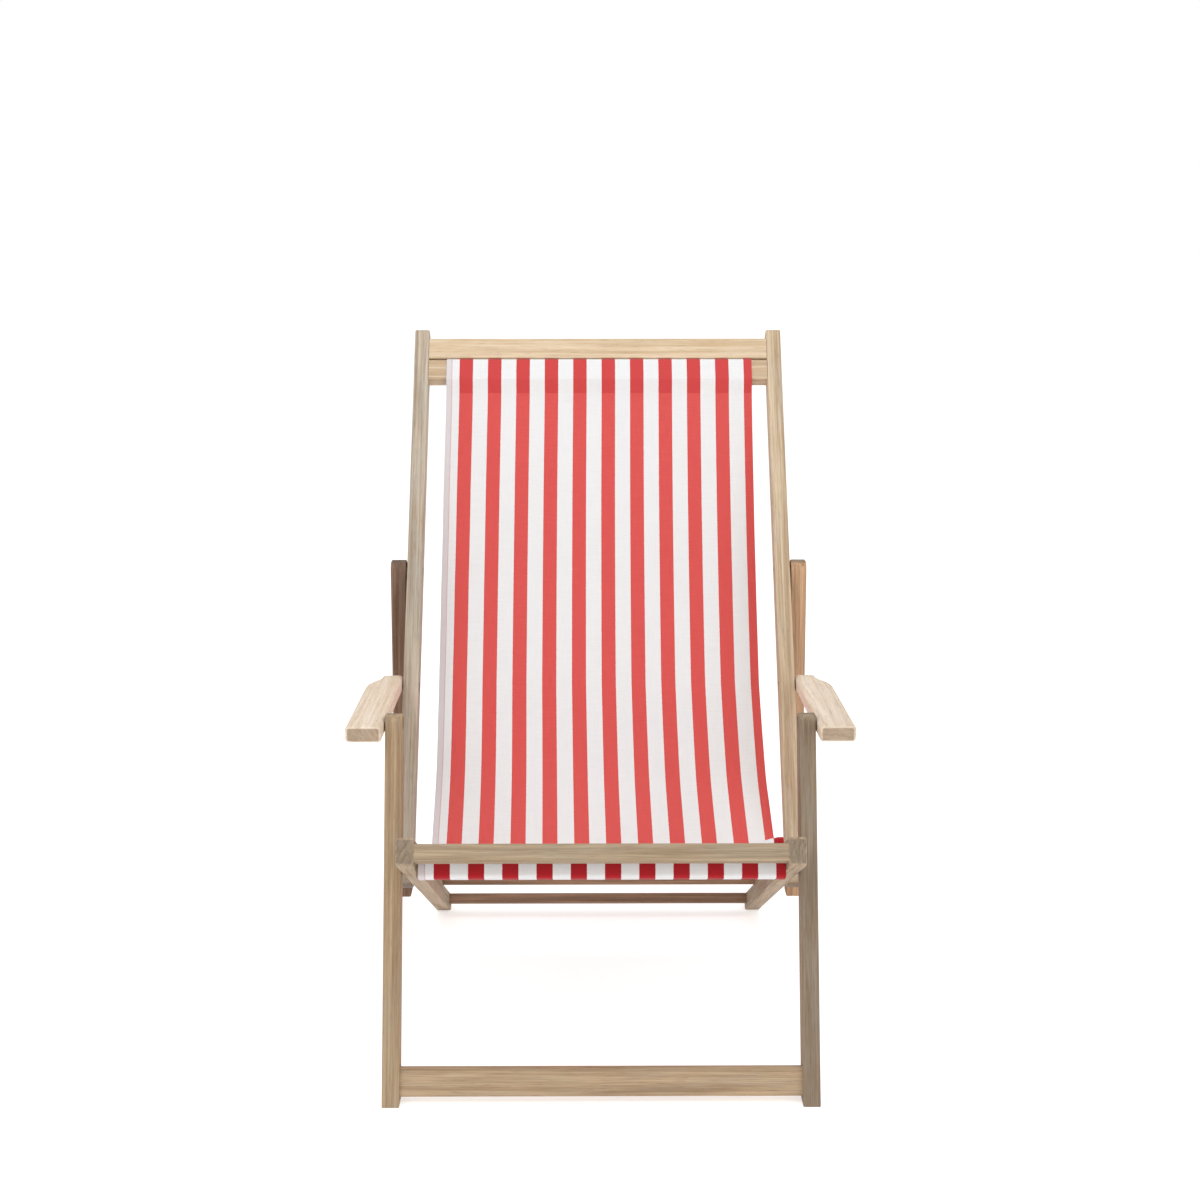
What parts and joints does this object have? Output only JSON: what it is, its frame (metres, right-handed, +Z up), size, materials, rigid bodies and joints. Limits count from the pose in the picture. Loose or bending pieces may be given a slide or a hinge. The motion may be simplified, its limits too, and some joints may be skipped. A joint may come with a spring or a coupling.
{
  "type": "folding deck chair",
  "caption": "Reclining garden chair with a striped canvas sling hung in hinged wooden frames, flat armrests and a rear prop that drops into notches so the frames fold flat",
  "frame": {"origin": "centre of the chair's bounding box, on the floor it stands on", "axes": "+Z up, the sitter faces -Y, +X is to the right seen from the front; the chair is symmetric about X = 0 apart from the cloth's 1 mm offset"},
  "size_m": [0.619, 0.8055, 0.8609],
  "materials": {
    "wood_weathered": "pale lime-washed hardwood with greyed open grain, oiled matt",
    "wood_light": "pale straw-coloured hardwood with fine straight grain, oiled matt",
    "wood_dark": "brown hardwood with greyed open grain, oiled matt",
    "canvas": "plain-weave cotton canvas, broad red and white stripes along its length, sewn hems",
    "steel_hardware": "zinc-plated steel, slightly dull"
  },
  "bodies": {
    "leg_frame": {"front_leg_right": "wood_weathered", "front_leg_left": "wood_weathered", "leg_bottom_rail": "wood_weathered", "leg_rail_screws": "steel_hardware", "seat_pivot_bolts": "steel_hardware", "seat_pivot_washers": "steel_hardware", "seat_pivot_caps": "steel_hardware", "armrest_front_bolts": "steel_hardware", "armrest_front_washers": "steel_hardware"},
    "seat_frame": {"seat_rail_right": "wood_weathered", "seat_rail_left": "wood_weathered", "seat_front_rail": "wood_weathered", "seat_fabric_rail": "wood_weathered", "seat_rear_rail": "wood_dark", "seat_rail_screws": "steel_hardware", "back_pivot_bolts": "steel_hardware", "back_pivot_washers": "steel_hardware", "back_pivot_caps": "steel_hardware", "sling_seat": "canvas", "sling_front_sleeve": "canvas"},
    "back_frame": {"back_stile_right": "wood_weathered", "back_stile_left": "wood_weathered", "back_top_rail": "wood_light", "back_fabric_rail": "wood_light", "back_rail_screws": "steel_hardware", "prop_pivot_bolts": "steel_hardware", "prop_pivot_washers": "steel_hardware", "prop_pivot_caps": "steel_hardware", "armrest_rear_bolts": "steel_hardware", "armrest_rear_washers": "steel_hardware", "sling_back": "canvas", "sling_back_sleeve": "canvas"},
    "prop_frame": {"prop_stile_right": "wood_dark", "prop_stile_left": "wood_dark", "prop_cross_rail": "wood_dark", "prop_rail_screws": "steel_hardware"},
    "armrest_right": {"armrest_right": "wood_light", "armrest_inserts_right": "steel_hardware"},
    "armrest_left": {"armrest_left": "wood_light", "armrest_inserts_left": "steel_hardware"}
  },
  "joints": [
    {"name": "seat_fold", "type": "hinge", "parent": "leg_frame", "child": "seat_frame", "pos_m": [0, -0.28654, 0.2743], "axis": [1, 0, 0], "range_deg": [0, 94]},
    {"name": "back_recline", "type": "hinge", "parent": "seat_frame", "child": "back_frame", "pos_m": [0, -0.10152, 0.19603], "axis": [1, 0, 0], "range_deg": [-76, 0]},
    {"name": "prop_swing", "type": "hinge", "parent": "back_frame", "child": "prop_frame", "pos_m": [0, 0.1602, 0.54499], "axis": [1, 0, 0], "range_deg": [0, 144]},
    {"name": "armrest_right_fold", "type": "hinge", "parent": "leg_frame", "child": "armrest_right", "pos_m": [0, -0.23245, 0.434], "axis": [1, 0, 0], "range_deg": [0, 76]},
    {"name": "armrest_left_fold", "type": "hinge", "parent": "leg_frame", "child": "armrest_left", "pos_m": [0, -0.23245, 0.434], "axis": [1, 0, 0], "range_deg": [0, 76]}
  ],
  "couplings": [
    {"joint": "back_recline", "follows": "seat_fold", "ratio": -0.805},
    {"joint": "prop_swing", "follows": "seat_fold", "ratio": 1.53},
    {"joint": "armrest_right_fold", "follows": "seat_fold", "ratio": 0.805},
    {"joint": "armrest_left_fold", "follows": "seat_fold", "ratio": 0.805}
  ]
}
